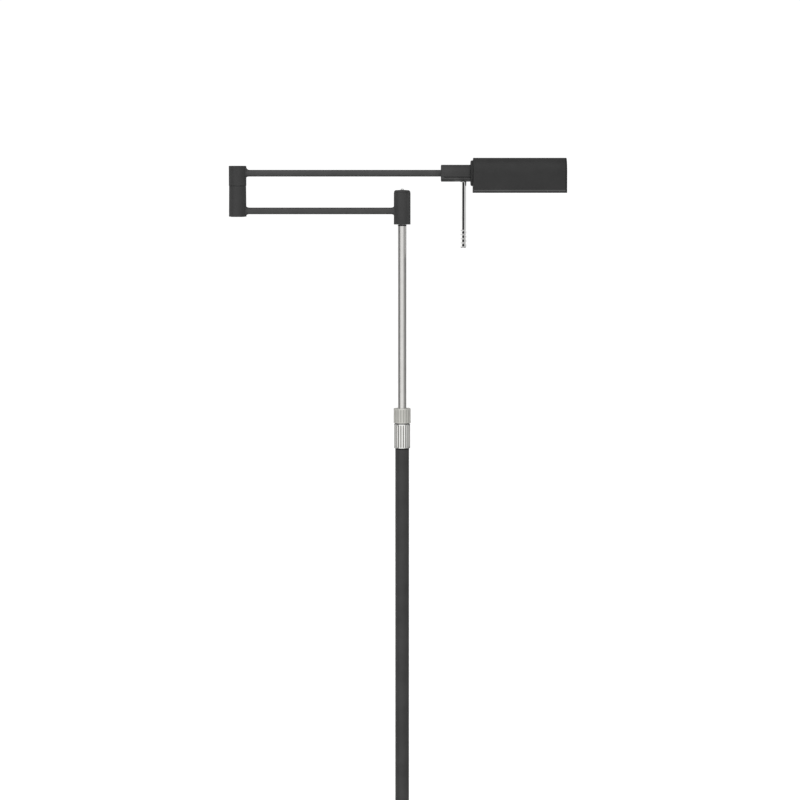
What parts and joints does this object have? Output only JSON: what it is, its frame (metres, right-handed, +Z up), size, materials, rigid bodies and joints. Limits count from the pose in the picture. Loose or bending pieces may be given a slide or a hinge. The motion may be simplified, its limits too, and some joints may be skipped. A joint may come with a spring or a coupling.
{
  "type": "pharmacy floor lamp",
  "caption": "Floor lamp with a round foot, telescopic column with twist lock, two folding swing arms and a trough-shaped head with an aiming handle.",
  "frame": {"origin": "centre of the foot's flat underside, on the column axis", "axes": "+Z up along the column; the folded arms lie along X, with the head on the +X side and the elbow on the -X side; -Y is the side the lamp is seen from"},
  "size_m": [0.404, 0.2322, 1.2999],
  "materials": {
    "black_paint": "satin powder coat",
    "satin_nickel": "polished to satin nickel plate",
    "chrome": "bright chrome plate",
    "zinc_steel": "zinc plate",
    "cast_iron": "as cast",
    "pad_foam": "matt foam rubber",
    "white_nylon": "natural nylon",
    "black_nylon": "moulded, fine texture",
    "cable_jacket": "smooth jacket",
    "wire_insulation": "smooth",
    "heat_sink_aluminium": "extruded",
    "board_white": "white solder mask",
    "diode": "phosphor resin",
    "reflector_white": "white gloss",
    "opal": "opal acrylic, satin"
  },
  "bodies": {
    "stand": {"base_pad": "pad_foam", "base_weight": "cast_iron", "base_cover": "black_paint", "base_nut": "zinc_steel", "base_washer": "zinc_steel", "base_nipple": "zinc_steel", "cord_gland": "black_nylon", "column_foot": "black_paint", "foot_insert": "zinc_steel", "outer_tube": "black_paint", "column_cable": "cable_jacket", "lock_barrel": "chrome", "lock_collet": "white_nylon"},
    "lock_ring": {"lock_nut": "satin_nickel"},
    "riser": {"inner_tube": "satin_nickel", "slide_stop": "white_nylon", "riser_cable": "cable_jacket", "hub_washer": "black_nylon", "hub_spindle": "zinc_steel", "hub_thrust_washer": "zinc_steel", "hub_spring_washer": "zinc_steel", "hub_nut": "zinc_steel", "hub_cap": "black_paint", "cap_screw": "chrome"},
    "lower_swing": {"hub_body": "black_paint", "hub_bush": "white_nylon", "hub_top_washer": "black_nylon", "lower_arm": "black_paint", "lower_arm_cable": "cable_jacket", "elbow_base": "black_paint", "elbow_bottom_cap": "black_paint", "elbow_washer": "black_nylon", "elbow_spindle": "zinc_steel", "elbow_thrust_washer": "zinc_steel", "elbow_spring_washer": "zinc_steel", "elbow_nut": "zinc_steel"},
    "upper_swing": {"elbow_head": "black_paint", "elbow_bush": "white_nylon", "elbow_top_cap": "black_paint", "upper_arm": "black_paint", "upper_arm_cable": "cable_jacket", "arm_end_ring": "zinc_steel"},
    "head": {"neck": "black_paint", "neck_liner": "white_nylon", "neck_plug": "zinc_steel", "collar": "black_paint", "shade": "black_paint", "shade_nut": "zinc_steel", "shade_end_cap": "black_paint", "end_cap_screws": "zinc_steel", "heat_sink": "heat_sink_aluminium", "led_board": "board_white", "leds": "diode", "board_screws": "zinc_steel", "reflector": "reflector_white", "diffuser": "opal", "head_wires": "wire_insulation", "handle_rod": "chrome", "handle_grip": "chrome"}
  },
  "joints": [
    {"name": "column_height", "type": "slide", "parent": "stand", "child": "riser", "axis": [0, 0, 1], "range_m": [-0.21, 0.2]},
    {"name": "lock_turn", "type": "hinge", "parent": "stand", "child": "lock_ring", "pos_m": [0, 0, 0.99], "axis": [0, 0, 1], "range_deg": [0, 180]},
    {"name": "hub_swivel", "type": "hinge", "parent": "riser", "child": "lower_swing", "pos_m": [0, 0, 1.24], "axis": [0, 0, 1], "range_deg": [-175, 175]},
    {"name": "elbow_swivel", "type": "hinge", "parent": "lower_swing", "child": "upper_swing", "pos_m": [-0.197, 0, 1.266], "axis": [0, 0, 1], "range_deg": [-175, 175]},
    {"name": "head_roll", "type": "hinge", "parent": "upper_swing", "child": "head", "pos_m": [0.06, 0, 1.2815], "axis": [1, 0, 0], "range_deg": [-120, 120]}
  ]
}
